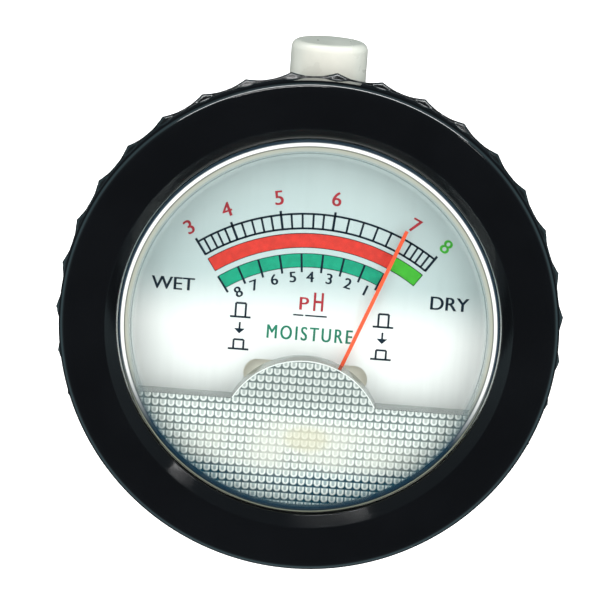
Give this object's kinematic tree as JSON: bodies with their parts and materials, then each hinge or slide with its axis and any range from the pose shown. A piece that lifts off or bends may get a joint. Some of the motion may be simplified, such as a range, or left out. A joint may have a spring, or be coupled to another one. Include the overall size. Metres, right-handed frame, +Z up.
{
  "type": "soil moisture meter",
  "caption": "Round soil tester with a moving-coil dial, a fluted grip, a push button and a tapered probe with metal plates and a metal point.",
  "frame": {"origin": "point of the probe, on the tester's axis", "axes": "+Z up the probe and out of the dial, +Y from the axis to the push button, +X to the right of the dial"},
  "size_m": [0.0499, 0.0519, 0.16],
  "materials": {
    "bezel_black": "glossy",
    "housing_black": "satin",
    "clear_window": "clear",
    "gasket_rubber": "matte",
    "prism_clear": "clear",
    "dial_silver": "brushed",
    "screw_brass": "satin",
    "base_cream": "matte",
    "soft_iron": "satin",
    "magnet_grey": "satin",
    "spacer_brass": "satin",
    "bridge_aluminium": "satin",
    "winding_copper": "satin",
    "staff_steel": "polished",
    "pointer_orange": "satin",
    "weight_brass": "satin",
    "hairspring_bronze": "polished",
    "terminal_brass": "satin",
    "resistor_body": "satin",
    "button_ivory": "satin",
    "spring_steel": "polished",
    "switch_plastic": "matte",
    "contact_bronze": "satin",
    "probe_black": "satin",
    "ring_pale": "matte",
    "tip_metal": "polished",
    "electrode_metal": "satin",
    "rod_steel": "satin",
    "lead_wire": "matte"
  },
  "bodies": {
    "tester": {"bezel_ring": "bezel_black", "button_spring": "spring_steel", "core_magnet": "magnet_grey", "core_spacers": "spacer_brass", "dial_plate": "dial_silver", "dial_screws": "screw_brass", "electrode_plate_1": "electrode_metal", "electrode_plate_2": "electrode_metal", "electrode_plate_3": "electrode_metal", "fixed_contacts": "contact_bronze", "head_housing": "housing_black", "insulator_ring": "ring_pale", "lens": "clear_window", "lens_gasket": "gasket_rubber", "lower_bridge": "bridge_aluminium", "lower_hairspring": "hairspring_bronze", "lower_jewel_screw": "screw_brass", "metal_tip": "tip_metal", "meter_base": "base_cream", "plate_lead_1": "lead_wire", "plate_lead_2": "lead_wire", "plate_lead_3": "lead_wire", "prism_cover": "prism_clear", "probe_body": "probe_black", "rod_lead": "lead_wire", "rod_nut": "rod_steel", "rod_washer": "rod_steel", "shunt_resistor": "resistor_body", "switch_body": "switch_plastic", "terminal_nuts": "terminal_brass", "terminal_studs": "terminal_brass", "tie_rod": "rod_steel", "upper_bridge": "bridge_aluminium", "upper_hairspring": "hairspring_bronze", "upper_jewel_screw": "screw_brass", "yoke_ring": "soft_iron"},
    "pointer_movement": {"pointer": "pointer_orange", "balance_weights": "weight_brass", "coil_former": "bridge_aluminium", "coil_winding": "winding_copper", "pivot_staffs": "staff_steel"},
    "button": {"push_button": "button_ivory", "contact_bridge": "contact_bronze"}
  },
  "joints": [
    {"name": "pointer_swing", "type": "hinge", "parent": "tester", "child": "pointer_movement", "pos_m": [0, -0.013, 0.1538], "axis": [0, 0, 1], "range_deg": [-12.5, 55.5], "stiffness_Nm_per_rad": 0.000005, "deforming": ["upper_hairspring", "lower_hairspring"]},
    {"name": "button_press", "type": "slide", "parent": "tester", "child": "button", "axis": [0, -1, 0], "range_m": [0, 0.002], "stiffness_N_per_m": 400, "springref_m": -0.001, "deforming": ["button_spring"]}
  ]
}
